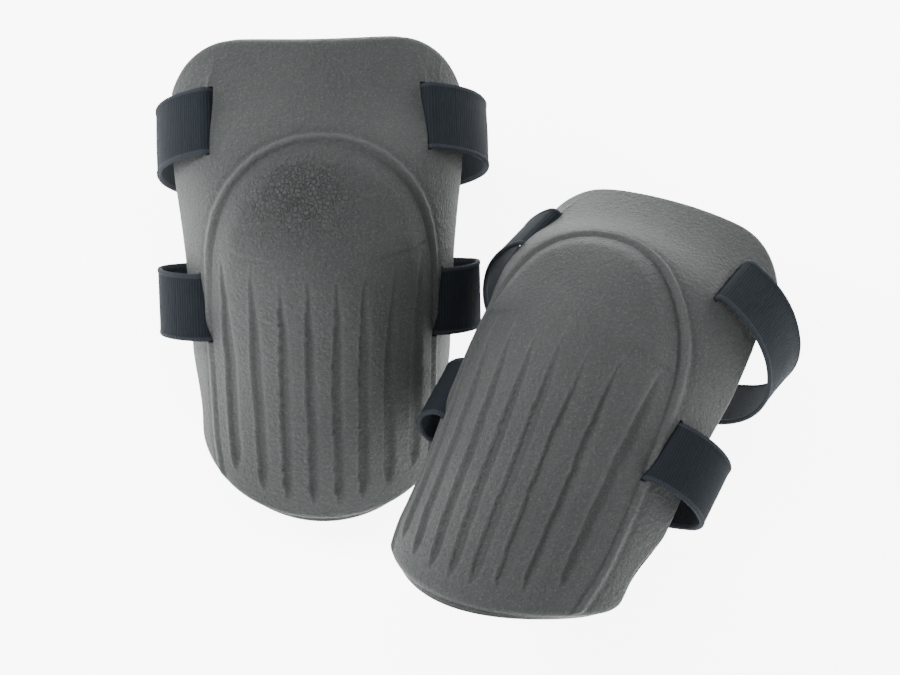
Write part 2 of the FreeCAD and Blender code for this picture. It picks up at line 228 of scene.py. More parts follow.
def strap_matrix(pad, strap, kind):
    """The strap's frame at the mouth of its slot: out from the pad, back, and across the strap."""
    side = PADS[pad] * KINDS[kind]
    slot = SLOT[strap]
    tilt = math.radians(slot["tilt"])
    outward = Vector((side, 0, 0))
    backward = Vector((0, -math.sin(tilt), -math.cos(tilt)))
    local = Matrix((outward, backward, outward.cross(backward))).transposed().to_4x4()
    local.translation = Vector((side * slot["x"], slot["y"], slot["z"])) * MM
    return pad_matrix(pad) @ local


# ---------------------------------------------------------------- materials

class Nodes:
    """A short way to build a shader tree."""

    def __init__(self, name):
        self.material = bpy.data.materials.new(name)
        self.material.use_nodes = True
        self.tree = self.material.node_tree
        self.tree.nodes.clear()
        self.out = self.tree.nodes.new("ShaderNodeOutputMaterial")
        self.shader = self.tree.nodes.new("ShaderNodeBsdfPrincipled")
        self.link(self.shader.outputs[0], self.out.inputs["Surface"])

    def link(self, a, b):
        self.tree.links.new(a, b)

    def add(self, kind, **settings):
        """A new node with its settings."""
        node = self.tree.nodes.new(kind)
        for key, value in settings.items():
            setattr(node, key, value)
        return node

    def put(self, socket, value):
        """Links another node's output to the socket, or sets a constant on it."""
        if hasattr(value, "node"):
            self.link(value, socket)
        else:
            socket.default_value = value

    def math(self, operation, a, b=0.0, c=0.0):
        node = self.add("ShaderNodeMath", operation=operation)
        for socket, value in zip(node.inputs, (a, b, c)):
            self.put(socket, value)
        return node.outputs[0]

    def mix(self, factor, a, b):
        node = self.add("ShaderNodeMix", data_type="RGBA")
        self.put(node.inputs[0], factor)
        self.put(node.inputs[6], a)
        self.put(node.inputs[7], b)
        return node.outputs[2]

    def noise(self, where, scale, detail=3.0, rough=0.5, distortion=0.0):
        node = self.add("ShaderNodeTexNoise")
        self.put(node.inputs["Vector"], where)
        self.put(node.inputs["Scale"], scale)
        self.put(node.inputs["Detail"], detail)
        self.put(node.inputs["Roughness"], rough)
        self.put(node.inputs["Distortion"], distortion)
        return node.outputs["Fac"]

    def voronoi(self, where, scale, feature="F1", random=1.0):
        node = self.add("ShaderNodeTexVoronoi", feature=feature)
        self.put(node.inputs["Vector"], where)
        self.put(node.inputs["Scale"], scale)
        self.put(node.inputs["Randomness"], random)
        return node.outputs["Distance"]

    def ramp(self, value, low, high):
        node = self.add("ShaderNodeMapRange", interpolation_type="SMOOTHSTEP")
        self.put(node.inputs["Value"], value)
        self.put(node.inputs["From Min"], low)
        self.put(node.inputs["From Max"], high)
        return node.outputs["Result"]

    def attribute(self, name):
        return self.add("ShaderNodeAttribute", attribute_name=name).outputs["Fac"]

    def bump(self, height, strength, distance, normal=None):
        node = self.add("ShaderNodeBump")
        self.put(node.inputs["Strength"], strength)
        self.put(node.inputs["Distance"], distance)
        self.put(node.inputs["Height"], height)
        if normal is not None:
            self.put(node.inputs["Normal"], normal)
        return node.outputs["Normal"]

    def scaled(self, a, factor):
        return self.math("MULTIPLY", a, factor)

    def where(self):
        """Coordinates of the object, in metres."""
        return self.add("ShaderNodeTexCoord").outputs["Object"]

    def finish(self, color, roughness, normal=None, sheen=0.0, specular=0.5):
        """Sets the shader's inputs and gives the material."""
        self.put(self.shader.inputs["Base Color"], color)
        self.put(self.shader.inputs["Roughness"], roughness)
        self.shader.inputs["Specular IOR Level"].default_value = specular
        self.shader.inputs["Sheen Weight"].default_value = sheen
        self.shader.inputs["Sheen Roughness"].default_value = 0.5
        if normal is not None:
            self.put(self.shader.inputs["Normal"], normal)
        return self.material


def foam_material():
    """Grainy closed-cell foam, creased where "wrinkle" is high, with painted shade darkening the creases,
    and a painted highlight lightening the bead and flute lips where "edge" is high.
    """
    n = Nodes("foam")
    where = n.where()
    grain = n.noise(where, 620.0, 5.0, 0.68)
    pores = n.voronoi(where, 420.0)
    cloud = n.noise(where, 38.0, 4.0, 0.55)
    speckle = n.noise(where, 900.0, 3.0, 0.75)
    wrinkle = n.attribute("wrinkle")
    warp = n.add("ShaderNodeVectorMath", operation="ADD")
    n.put(warp.inputs[0], where)
    shift = n.add("ShaderNodeTexNoise")
    n.put(shift.inputs["Vector"], where)
    shift.inputs["Scale"].default_value = 160.0
    lessen = n.add("ShaderNodeVectorMath", operation="SCALE")
    n.link(shift.outputs["Color"], lessen.inputs[0])
    lessen.inputs["Scale"].default_value = 0.0022
    n.link(lessen.outputs[0], warp.inputs[1])
    cracks = n.voronoi(warp.outputs[0], 430.0, "DISTANCE_TO_EDGE")
    cracks = n.math("ADD", cracks, n.scaled(n.noise(where, 210.0, 3.0), 0.22))
    cracks = n.ramp(cracks, 0.04, 0.26)
    crack_depth = n.math("MULTIPLY", n.math("SUBTRACT", cracks, 1.0), wrinkle)
    stain = n.ramp(n.noise(where, 14.0, 2.0), 0.3, 0.7)
    cloud = n.math("ADD", n.scaled(cloud, 0.6), n.scaled(stain, 0.4))
    dark = n.mix(cloud, (0.034, 0.037, 0.0368, 1), (0.047, 0.0505, 0.0495, 1))
    lighter = n.mix(n.scaled(n.ramp(speckle, 0.5, 0.72), 0.5), dark, (0.095, 0.1, 0.099, 1))
    # Painted highlight: the bead and flute lips, where "edge" is high, are painted lighter.
    edge_highlight = n.mix(n.scaled(n.attribute("edge"), 0.35), lighter, (0.09, 0.095, 0.095, 1))
    # Painted shade: the creases are painted darker where "wrinkle" is high.
    color = n.mix(n.scaled(crack_depth, -0.3), edge_highlight, (0.02, 0.022, 0.022, 1))
    height = n.math("ADD", n.scaled(grain, 0.55), n.scaled(pores, 0.35))
    normal = n.bump(height, 1.0, 0.0014)
    normal = n.bump(crack_depth, 0.9, 0.0012, normal)
    normal = n.bump(cloud, 0.25, 0.0016, normal)
    rough = n.math("ADD", 0.62, n.scaled(grain, 0.2))
    return n.finish(color, rough, normal, specular=0.16)


def elastic_material():
    """Knitted elastic: cross ribs and fine wales between two corded edges, in metres of "weave", with
    painted highlights on the rib tops and along the corded edges.
    """
    n = Nodes("elastic")
    weave = n.add("ShaderNodeUVMap", uv_map="weave").outputs["UV"]
    uv = n.add("ShaderNodeSeparateXYZ")
    n.link(weave, uv.inputs[0])
    along, across = uv.outputs["X"], uv.outputs["Y"]
    edge = n.ramp(n.math("ABSOLUTE", across), 0.0162, 0.0168)
    wobble = n.noise(weave, 700.0, 2.0)
    rib = n.math("SINE", n.math("ADD", n.scaled(along, 4100.0), n.scaled(wobble, 1.6)))
    wale = n.math("SINE", n.scaled(across, 4700.0))
    slant = n.math("SINE", n.math("ADD", n.scaled(along, 5200.0), n.scaled(across, 5200.0)))
    cord = n.math("SINE", n.scaled(along, 4200.0))
    knit = n.scaled(n.math("MULTIPLY", wale, slant), 0.4)
    field = n.math("ADD", n.scaled(rib, 0.6), knit)
    body = n.math("MULTIPLY", field, n.math("SUBTRACT", 1.0, edge))
    height = n.math("ADD", body, n.scaled(n.math("MULTIPLY", cord, edge), 0.7))
    where = n.where()
    fuzz = n.noise(where, 2200.0, 3.0, 0.7)
    cloud = n.noise(where, 55.0, 3.0)
    base = n.mix(cloud, (0.0085, 0.0110, 0.0138, 1), (0.0118, 0.0148, 0.0180, 1))
    lit = n.mix(n.scaled(n.ramp(height, -0.2, 0.9), 0.3), base, (0.026, 0.031, 0.036, 1))
    color = n.mix(n.scaled(n.ramp(fuzz, 0.55, 0.8), 0.35), lit, (0.028, 0.034, 0.041, 1))
    # Painted highlight: the corded edges are painted lighter.
    color = n.mix(n.scaled(edge, 0.5), color, (0.030, 0.035, 0.041, 1))
    normal = n.bump(height, 0.6, 0.0003)
    normal = n.bump(fuzz, 0.6, 0.0004, normal)
    return n.finish(color, 0.92, normal, specular=0.06)


def tape_material(name, dark, light, scale, fuzzy):
    """Fastening tape: rows of stiff hooks, or a fuzzy loop pile."""
    spread, depth, rough, sheen = (1.0, -0.3, 0.92, 0.25) if fuzzy else (0.45, -0.7, 0.6, 0.0)
    n = Nodes(name)
    where = n.where()
    tufts = n.voronoi(where, scale, random=spread)
    fluff = n.noise(where, scale * 1.7, 5.0, 0.75, 0.8)
    height = n.math("ADD", n.scaled(tufts, depth), fluff)
    color = n.mix(n.ramp(fluff, 0.35, 0.7), dark, light)
    normal = n.bump(height, 0.8, 0.0006)
    return n.finish(color, rough, normal, sheen=sheen, specular=0.3)


def thread_material():
    """Twisted sewing thread."""
    n = Nodes("thread")
    where = n.where()
    twist = n.noise(where, 3200.0, 2.0)
    color = n.mix(twist, (0.035, 0.04, 0.05, 1), (0.09, 0.1, 0.115, 1))
    return n.finish(color, 0.6, n.bump(twist, 0.6, 0.0001), specular=0.4)


def plastic_material():
    """Scuffed dark plastic of the retaining bars."""
    n = Nodes("bar_plastic")
    where = n.where()
    grain = n.noise(where, 1600.0, 3.0)
    scuff = n.noise(where, 120.0, 4.0, 0.6)
    color = n.mix(scuff, (0.02, 0.021, 0.023, 1), (0.036, 0.038, 0.04, 1))
    rough = n.math("ADD", 0.38, n.scaled(scuff, 0.25))
    return n.finish(color, rough, n.bump(grain, 0.3, 0.0001))


def floor_material():
    """A floor that glows, so that it shows as a plain white ground."""
    n = Nodes("floor")
    where = n.where()
    mottle = n.noise(where, 3.0, 2.0)
    color = n.mix(mottle, (0.93, 0.93, 0.93, 1), (0.96, 0.96, 0.96, 1))
    n.shader.inputs["Emission Color"].default_value = (1, 1, 1, 1)
    n.shader.inputs["Emission Strength"].default_value = 7.0
    return n.finish(color, 0.8, specular=0.1)


# ---------------------------------------------------------------- foam shell

def station(y, column):
    """A column of the table of sections, at any distance along the pad."""
    return spline(y, STATIONS[:, 0], STATIONS[:, column])


def boundary_curves(s, t):
    """Bottom and top of the outline as (x, y), for s from -1 to 1."""
    bottom_angle = s * math.pi / 2
    bottom = np.stack([TOE_HALF * np.sin(bottom_angle), TOE_Y - TOE_LONG * np.cos(bottom_angle)], -1)
    start = math.acos((SIDE_HALF - CORNER_X) / CORNER_R)
    arc = CORNER_R * (math.pi / 2 - start)
    run = arc + CORNER_X
    d = np.abs(s) * run
    angle = math.pi / 2 - (d - CORNER_X) / CORNER_R
    on_arc = d > CORNER_X
    x = np.where(on_arc, CORNER_X + CORNER_R * np.cos(angle), d)
    y = np.where(on_arc, CORNER_Y + CORNER_R * np.sin(angle), CORNER_Y + CORNER_R)
    y = y - BROW_DIP * np.clip(1 - (d / CORNER_X) ** 2, 0, 1) ** 1.5
    top = np.stack([np.sign(s) * x, y], -1)
    return bottom, top


def edge_spacing(count, near):
    """Samples from 0 to 1, with extra ones close to both ends."""
    middle = np.linspace(near[-1], 1 - near[-1], count)[1:-1]
    return np.concatenate([near, middle, 1 - np.array(near[::-1])])


def shell_grid():
    """Angle round the shell and distance along it for its grid, blended between four borders."""
    side = [0.0, 0.0014, 0.0034, 0.006, 0.0095, 0.014, 0.0195]
    ends = [0.0, 0.0013, 0.003, 0.0055, 0.0085, 0.0125, 0.0175]
    s = edge_spacing(236, side) * 2 - 1
    t = edge_spacing(300, ends)
    bottom, top = boundary_curves(s, t)
    y_low, y_high = bottom[0, 1], top[0, 1]
    side_y = y_low + (y_high - y_low) * t
    side_x = np.minimum(station(side_y, 1), SIDE_HALF)
    blend_low = smooth(side_y, y_low, y_low + 45.0)
    side_x = bottom[-1, 0] * (1 - blend_low) + side_x * blend_low

    def border(x, y):
        angle = np.arcsin(np.clip(x / (FLARE * station(y, 1)), -1, 1))
        return np.stack([angle, y], -1)

    low = border(bottom[:, 0], bottom[:, 1])
    high = border(top[:, 0], top[:, 1])
    right = border(side_x, side_y)
    left = right * np.array([-1, 1])
    fs = ((s + 1) / 2)[None, :, None]
    ft = t[:, None, None]
    patch = (1 - ft) * low[None] + ft * high[None]
    patch = patch + (1 - fs) * left[:, None] + fs * right[:, None]
    corners = (1 - fs) * (1 - ft) * low[0] + fs * (1 - ft) * low[-1]
    corners = corners + (1 - fs) * ft * high[0] + fs * ft * high[-1]
    patch = patch - corners
    return patch[..., 0], patch[..., 1]


def surface(angle, y, inner):
    """A point of the outer or inner face of the shell."""
    half = FLARE * station(y, 1)
    crown, depth, thick = station(y, 2), station(y, 3), station(y, 4)
    low = crown - depth
    if inner:
        half = half - WING
        depth = depth - thick
    return np.stack([half * np.sin(angle), y, low + depth * np.cos(angle)], -1)


def arch_distance(x, y):
    """Signed distance to the arch, positive outside it."""
    px = np.abs(x)
    best = np.full(x.shape, 1e9)
    sign = np.ones(x.shape)
    for (ax, ay), (bx, by) in zip(ARCH[:-1], ARCH[1:]):
        ex, ey = bx - ax, by - ay
        u = np.clip(((px - ax) * ex + (y - ay) * ey) / (ex * ex + ey * ey), 0, 1)
        dx, dy = px - (ax + u * ex), y - (ay + u * ey)
        d = np.hypot(dx, dy)
        closer = d < best
        best = np.where(closer, d, best)
        sign = np.where(closer, np.sign(ex * dy - ey * dx), sign)
    return best * sign


def flute(x, y, place, side, pad):
    """Depth of one flute below the ribs, and the raised lip along its edge, which the foam also paints
    lighter as a painted highlight.
    """
    i = FLUTE_X.index(place)
    seed = i * 2 + (side > 0) + (20 if pad == "right" else 0)
    drift = 0.3 * np.sin(y / 19.0 + seed * 1.7) + 0.3 * value_noise(y / 9.0 + seed * 3, y * 0 + seed, 5)
    centre = side * place * (1.0 - 0.0007 * np.clip(20 - y, 0, 200)) + drift
    top = np.interp(place, RIB_TOP[:, 0], RIB_TOP[:, 1]) - 1.5 - 2.0 * (seed % 3)
    end = TOE_Y - TOE_LONG * math.sqrt(1 - (place / TOE_HALF) ** 2) + 9.0
    v = np.clip((top - y) / (top - end), 0, 1)
    swell = np.minimum(1, (v / 0.4) ** 0.65) * np.minimum(1, ((1 - v) / 0.08) ** 0.5)
    ragged = 0.6 if pad == "left" and i < 2 else 0.15
    ragged = ragged * value_noise(y / 2.6 + seed * 5, y * 0 + 3 + seed, 9)
    half = FLUTE_HALF * swell
    offset = x - centre
    wall_left = smooth(offset, -half - 0.35 + ragged, -half + 0.65 + ragged)
    wall_right = smooth(-offset, -half - 1.1, -half + 2.4)
    depth = FLUTE_DEPTH * np.minimum(1, v / 0.3) ** 0.7 * np.minimum(1, (1 - v) / 0.06)
    lip = bump(offset + half + 0.6 - ragged, 0.7) * (v > 0.01) * (v < 0.98)
    return depth * wall_left * wall_right - LIP_RISE * lip * np.minimum(1, v / 0.2), lip


def relief(x, y, pad):
    """Height of the moulded relief above the plain shell, the mask of its painted highlight on the bead and
    flute lips, and the arch distance.
    """
    d = arch_distance(x, y)
    upper_part = smooth(y, -15.0, 45.0)
    strong = 0.62 + 0.38 * upper_part
    low_fade = smooth(y, -134.0, -116.0)
    bead = 0.95 + 0.65 * upper_part
    h = BEAD_RISE * bump(d, bead) * strong * low_fade
    h -= 1.2 * bump(d + 1.8 * bead, 0.75 * bead) * strong * low_fade
    h -= 0.5 * bump(d - 1.9 * bead, 0.9 * bead) * strong * low_fade
    dome = smooth(-d, 3.0, 16.0) * smooth(y, -60.0, 25.0)
    h += DOME_RISE * dome

    line = np.interp(np.abs(x), RIB_TOP[:, 0], RIB_TOP[:, 1])
    line = line + 0.8 * value_noise(x / 7.0 + 5, y * 0 + 2, 11)
    inside = smooth(-d, 3.0, 5.0)
    shown = inside * (0.12 + 0.88 * smooth(np.abs(x), 14.0, 44.0))
    above = y - line
    h += shown * RIB_RISE * smooth(above, -0.5, 0.8) * smooth(above, 16.0, 2.0)
    h -= shown * 0.22 * bump(above + 1.2, 0.8)

    # Painted highlight: the bead and the flute lips are marked here to be painted lighter in the foam's
    # colour.
    edge = 0.8 * bump(d, 1.5) * strong
    for place in FLUTE_X:
        for side in (-1, 1):
            depth, lip = flute(x, y, place, side, pad)
            h -= depth
            edge += 0.7 * lip
    return h, np.clip(edge, 0, 1), d


def slot_lips(points, pad):
    """Foam pulled up a little along each slot and creased above the upper ones."""
    h = np.zeros(points.shape[:-1])
    for strap in STRAPS:
        slot = SLOT[strap]
        tilt = math.radians(slot["tilt"])
        for side in (-1, 1):
            mouth = np.array([side * slot["x"], slot["y"], slot["z"]])
            axis = np.array([0.0, math.cos(tilt), -math.sin(tilt)])
            rel = points - mouth
            along = rel @ axis
            across = np.sqrt(np.maximum((rel ** 2).sum(-1) - along ** 2, 0))
            within = smooth(22.5 - np.abs(along), 0.0, 4.0)
            inward = np.where(side * rel[..., 0] < 0, 1.0, 0.45)
            h += 0.9 * inward * within * bump(across - 1.0, 3.0)
            if strap == "upper":
                beside = side * rel[..., 0]
                tent = bump(along - 20.0, 7.0) * bump(across, 5.0)
                crease = bump(beside + 1.0 + 0.25 * (along - 18), 1.2)
                crease *= smooth(along, 17.0, 21.0) * smooth(-along, -42.0, -26.0)
                h += 0.7 * tent + 0.55 * crease
                fold_height = 0.35 if pad == "left" and side > 0 else 0.1
                for k in range(3):
                    fold = bump(beside + 4.5 - 4.2 * k - 0.12 * along, 0.75)
                    h += fold_height * fold * smooth(along, 18.0, 24.0) * smooth(-along, -42.0, -28.0)
    return h


def face_normals(angle, y, inner):
    """Unit normals of a face of the shell, pointing out of the dome."""
    step = 1e-3
    around = surface(angle + step, y, inner) - surface(angle - step, y, inner)
    along = surface(angle, y + 1.0, inner) - surface(angle, y - 1.0, inner)
    n = np.cross(around, along)
    return n / np.linalg.norm(n, axis=-1, keepdims=True)


def border_distance(points):
    """Distance in millimetres from each grid point to the nearest point of the grid's border."""
    border = np.concatenate([points[0], points[-1], points[1:-1, 0], points[1:-1, -1]])
    tree = KDTree(len(border))
    for i, point in enumerate(border):
        tree.insert(point, i)
    tree.balance()
    flat = points.reshape(-1, 3)
    return np.array([tree.find(point)[2] for point in flat]).reshape(points.shape[:2])


def rounding(distance, radius):
    """How far an edge rounded to a radius falls away, at a distance in from the border."""
    d = np.clip(distance, 0, radius)
    return radius - np.sqrt(radius ** 2 - (radius - d) ** 2)


def shell_faces(pad):
    """Outer and inner faces of one pad's shell as grids, its wrinkle mask and the mask of its painted edge
    highlight.
    """
    angle, y = shell_grid()
    outer = surface(angle, y, False)
    inner = surface(angle, y, True)
    normals = face_normals(angle, y, False)
    inner_normals = face_normals(angle, y, True)
    near = border_distance(outer)
    near_inner = border_distance(inner)
    corner = bump(y - TOE_Y, 14.0) * smooth(np.abs(outer[..., 0]), 50.0, 66.0)
    h, edge, arch = relief(outer[..., 0], y, pad)
    h = h + slot_lips(outer, pad)
    seed = 31 if pad == "left" else 47
    h = h + 0.22 * value_noise(outer[..., 0] / 23 + 9, y / 27 + 4, seed)
    h = h + 0.07 * value_noise(outer[..., 0] / 5 + 9, y / 6 + 4, seed + 1)
    h = h * smooth(near, 0.0, 4.0)
    ripple = 0.06 * value_noise(outer[..., 0] / 16 + 3, y / 16 + 8, seed + 2)
    wrinkle = bump(outer[..., 0] + 14, 30) * bump(y - 44, 22) * smooth(-arch, 4.0, 12.0)
    wrinkle = 0.10 + (0.25 if pad == "right" else 1.0) * wrinkle
    outer = outer + normals * (h - rounding(near, RIM_OUTER) * (1 - 0.8 * corner) + ripple)[..., None]
    inner = inner + inner_normals * (rounding(near_inner, RIM_INNER) * (1 - corner))[..., None]
    if pad == "right":
        # This shell leans in at one side of its toe and at the other side of its brow.
        for face in (outer, inner):
            ease = 1 - 0.075 * smooth(-y, 85.0, 130.0) * (face[..., 0] < 0)
            ease -= 0.07 * smooth(y, 35.0, 100.0) * (face[..., 0] > 0)
            face[..., 0] *= ease
    return outer, inner, wrinkle, edge


def closed_shell(outer, inner):
    """Points and faces of the two grids, joined all round by a rim of two rows."""
    rows, cols = outer.shape[:2]
    count = rows * cols
    verts = np.concatenate([outer.reshape(-1, 3), inner.reshape(-1, 3)])
    index = np.arange(count).reshape(rows, cols)
    corners = [index[:-1, :-1], index[:-1, 1:], index[1:, 1:], index[1:, :-1]]
    front = np.stack(corners, -1).reshape(-1, 4)
    back = front[:, ::-1] + count
    ring = np.concatenate([index[0, :], index[1:, -1], index[-1, -2::-1], index[-2:0:-1, 0]])
    ring_next = np.roll(ring, -1)
    middle = np.arange(len(ring)) + 2 * count
    middle_next = np.roll(middle, -1)
    verts = np.concatenate([verts, (verts[ring] + verts[ring + count]) / 2])
    rim_outer = np.stack([ring_next, ring, middle, middle_next], -1)
    rim_inner = np.stack([middle_next, middle, ring + count, ring_next + count], -1)
    return verts, np.concatenate([front, back, rim_outer, rim_inner])


def make_shell(pad, material):
    """One pad's foam shell, on the pad's own body."""
    outer, inner, wrinkle, edge = shell_faces(pad)
    verts, faces = closed_shell(outer, inner)
    obj = new_mesh(pad + "_foam_shell_skin", verts * MM, faces.tolist(), material)
    for name, values in (("wrinkle", wrinkle), ("edge", edge)):
        layer = obj.data.attributes.new(name, "FLOAT", "POINT")
        data = np.zeros(len(verts), np.float32)
        data[:values.size] = values.reshape(-1)
        layer.data.foreach_set("value", data)
    cut_slots(obj)
    obj.data.transform(pad_matrix(pad))
    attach(obj, pad + "_pad")
    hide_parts(pad + "_foam_shell")


def cut_slots(obj):
    """Cuts the four strap slots through the foam."""
    bm = bmesh.new()
    for strap in STRAPS:
        slot = SLOT[strap]
        tilt, slope = math.radians(slot["tilt"]), math.radians(slot["slope"])
        for side in (-1, 1):
            outward = Vector((side, 0, 0))
            backward = Vector((0, -math.sin(tilt), -math.cos(tilt)))
            along = outward.cross(backward)
            thin = outward * math.cos(slope) + backward * math.sin(slope)
            deep = backward * math.cos(slope) - outward * math.sin(slope)
            matrix = Matrix((thin * SLOT_GAP, deep * SLOT_DEPTH, along * SLOT_LENGTH))
            matrix = matrix.transposed().to_4x4()
            matrix.translation = Vector((side * slot["x"], slot["y"], slot["z"]))
            made = bmesh.ops.create_cube(bm, size=1.0, matrix=Matrix.Scale(MM, 4) @ matrix)
            if matrix.determinant() < 0:
                faces = {f for v in made["verts"] for f in v.link_faces}
                bmesh.ops.reverse_faces(bm, faces=list(faces))
    mesh = bpy.data.meshes.new("slot_cutters")
    bm.to_mesh(mesh)
    bm.free()
    cutter = add_object("slot_cutters", mesh)
    modifier = obj.modifiers.new("slots", "BOOLEAN")
    modifier.operation = "DIFFERENCE"
    modifier.object = cutter
    modifier.solver = "EXACT"
    bpy.context.view_layer.update()
    graph = bpy.context.evaluated_depsgraph_get()
    result = bpy.data.meshes.new_from_object(obj.evaluated_get(graph))
    obj.modifiers.clear()
    old = obj.data
    obj.data = result
    result.name = obj.name
    bpy.data.meshes.remove(old)
    bpy.data.objects.remove(cutter)


# ---------------------------------------------------------------- straps

def loop_arcs(strap, pad, kind):
    """The centre line of one strap half beyond its slot, as (centre, radius, start, end)."""
    hook_bulge, loop_bulge, reach, inner_radius = LOOPS[strap, pad]
    bulge = hook_bulge if kind == "hook" else loop_bulge
    spread = 2 * STRAP_HALF + 2 * PATCH + PATCH_GAP if kind == "hook" else 0.0
    widest = SLOT[strap]["widest"]
    heading = 2 * math.atan(widest / bulge) - math.pi / 2
    first = bulge / (1 - math.sin(heading))
    back_centre = (-SLOT[strap]["x"], reach - inner_radius)
    back_radius = inner_radius + spread
    across, back = bulge - back_centre[0], widest - back_centre[1]
    side = (back_radius ** 2 - across ** 2 - back ** 2) / (2 * (back_radius - across))
    turn = math.atan2(back, across - side)
    end = math.pi / 2 + math.asin(PAST_MIDDLE[kind] / back_radius)
    return [
        ((bulge - first, widest), first, heading - math.pi / 2, 0.0),
        ((bulge - side, widest), side, 0.0, turn),
        (back_centre, back_radius, turn, end),
    ]


def arc_points(arc):
    """Points along an arc, about 1.2 mm apart."""
    (cx, cy), radius, start, end = arc
    count = max(3, int(abs(end - start) * radius / 1.2) + 1)
    angles = np.linspace(start, end, count)
    return np.stack([cx + radius * np.cos(angles), cy + radius * np.sin(angles)], -1)


def resample(points, step):
    """The same path with evenly spaced points."""
    keep = [points[0]]
    for p in points[1:]:
        if np.linalg.norm(p - keep[-1]) > 1e-6:
            keep.append(p)
    points = np.array(keep)
    length = running_length(points)
    count = max(2, int(length[-1] / step) + 1)
    marks = np.linspace(0, length[-1], count)
    return np.stack([np.interp(marks, length, points[:, k]) for k in (0, 1)], -1)


def anchor_path(strap):
    """Centre line of the sewn end, from the tip of its tail round the bar and up to the mouth."""
    ex, ey = slope_directions(strap)
    radius = BAR_RADIUS + STRAP_HALF
    depth = SLOT[strap]["bar"]
    local = [(TAIL, depth - radius), (TAIL / 2, depth - radius)]
    for angle in np.radians(np.arange(-60, 181, 20)):
        local.append((radius * math.cos(angle), depth + radius * math.sin(angle)))
    local += [(-1.6, depth - 3.2), (-0.25, depth - 5.4), (0.0, depth - 7.0), (0.0, 3.0)]
    return np.array([(ex * x + ey * y)[:2] for x, y in local])


def strap_path(strap, pad, kind):
    """The whole strap half (sewn end, bend at the mouth, run round the leg) and its length to the mouth."""
    end = anchor_path(strap)
    run = np.concatenate([arc_points(a) for a in loop_arcs(strap, pad, kind)])
    distance = np.linalg.norm(run, axis=1)
    first = int(np.argmax(distance > 3.2))
    a, b = end[-1], run[first]
    bend = [(1 - u) ** 2 * a + u ** 2 * b for u in np.linspace(0.1, 0.9, 9)]
    path = np.concatenate([end, bend, run[first:]])
    return resample(path, 0.7), running_length(np.concatenate([end, bend]))[-1]


def band_section(half, width, selvedge):
    """Section of a band as (across, up) all round it, thicker along its woven edges by selvedge."""
    edge = width / 2
    near_edge = [-edge + 0.25, -edge + 0.9, -edge + 1.6, -edge + 2.2, -edge + 2.5]
    inside = list(np.linspace(-edge + 3.2, edge - 3.2, 13))
    zs = np.array(near_edge + inside + [-z for z in near_edge[::-1]])
    swell = selvedge * smooth(np.abs(zs), edge - 2.5, edge - 2.1)
    swell = swell * (1 - 0.35 * smooth(np.abs(zs), edge - 1.0, edge - 0.2))
    up = half + swell
    up = np.where(np.abs(zs) > edge - 0.5, up - 0.3 * half, up)
    top = np.stack([zs, up], -1)
    side = np.array([(edge, 0.25 * half), (edge, -0.25 * half)])
    return np.concatenate([top, side, top[::-1] * [1, -1], -side])


def ribbon(name, path, half, width, material, selvedge=0.0, uv_start=0.0, wave=0.0):
    """A band swept along a plane path, gently waved once it is clear of its start."""
    tangent = np.gradient(path, axis=0)
    tangent /= np.linalg.norm(tangent, axis=1, keepdims=True)
    normal = np.stack([tangent[:, 1], -tangent[:, 0]], -1)
    ring = band_section(half, width, selvedge)
    n, m = len(path), len(ring)
    length = running_length(path)
    lift = ring[None, :, 1]
    if wave:
        along = (length[:, None] + uv_start) / 14.0 + 3
        w = wave * value_noise(along, ring[None, :, 0] / 16.0 + 9, 17)
        lift = lift + w * smooth(length, 12.0, 30.0)[:, None]
    plane = path[:, None, :] + normal[:, None, :] * lift[..., None]
    z = np.broadcast_to(ring[None, :, 0], plane.shape[:2])
    verts = np.concatenate([plane, z[..., None]], -1).reshape(-1, 3)
    index = np.arange(n * m).reshape(n, m)
    turned = np.roll(index, -1, axis=1)
    quads = np.stack([index[:-1], turned[:-1], turned[1:], index[1:]], -1).reshape(-1, 4)
    faces = quads.tolist() + [index[0].tolist(), index[-1][::-1].tolist()]
    obj = new_mesh(name, verts * MM, faces, material)
    layer = obj.data.uv_layers.new(name="weave")
    loops = np.zeros(len(obj.data.loops), np.int32)
    obj.data.loops.foreach_get("vertex_index", loops)
    u = (length[loops // m] + uv_start) * MM
    v = ring[loops % m, 0] * MM
    layer.data.foreach_set("uv", np.stack([u, v], -1).astype(np.float32).ravel())
    return obj


def face_outwards(obj):
    """Makes the normals point outwards."""
    bm = bmesh.new()
    bm.from_mesh(obj.data)
    bmesh.ops.recalc_face_normals(bm, faces=bm.faces)
    bm.to_mesh(obj.data)
    bm.free()


def place(obj, matrix, body, slot_name, node):
    """Moves a piece from the strap's frame into the row frame, turns its faces outwards, puts it on its
    body and hides the CAD part it stands for.
    """
    obj.data.transform(matrix)
    face_outwards(obj)
    if body is not None:
        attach(obj, body)
    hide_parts(node)


def arc_at(arc, distance, offset):
    """Point, outward and onward directions on the back arc, at a distance past the middle."""
    (cx, cy), radius, _, _ = arc
    angle = math.pi / 2 + math.asin(distance / radius)
    outward = np.array([math.cos(angle), math.sin(angle)])
    onward = np.array([-math.sin(angle), math.cos(angle)])
    return np.array([cx, cy]) + outward * (radius + offset), outward, onward


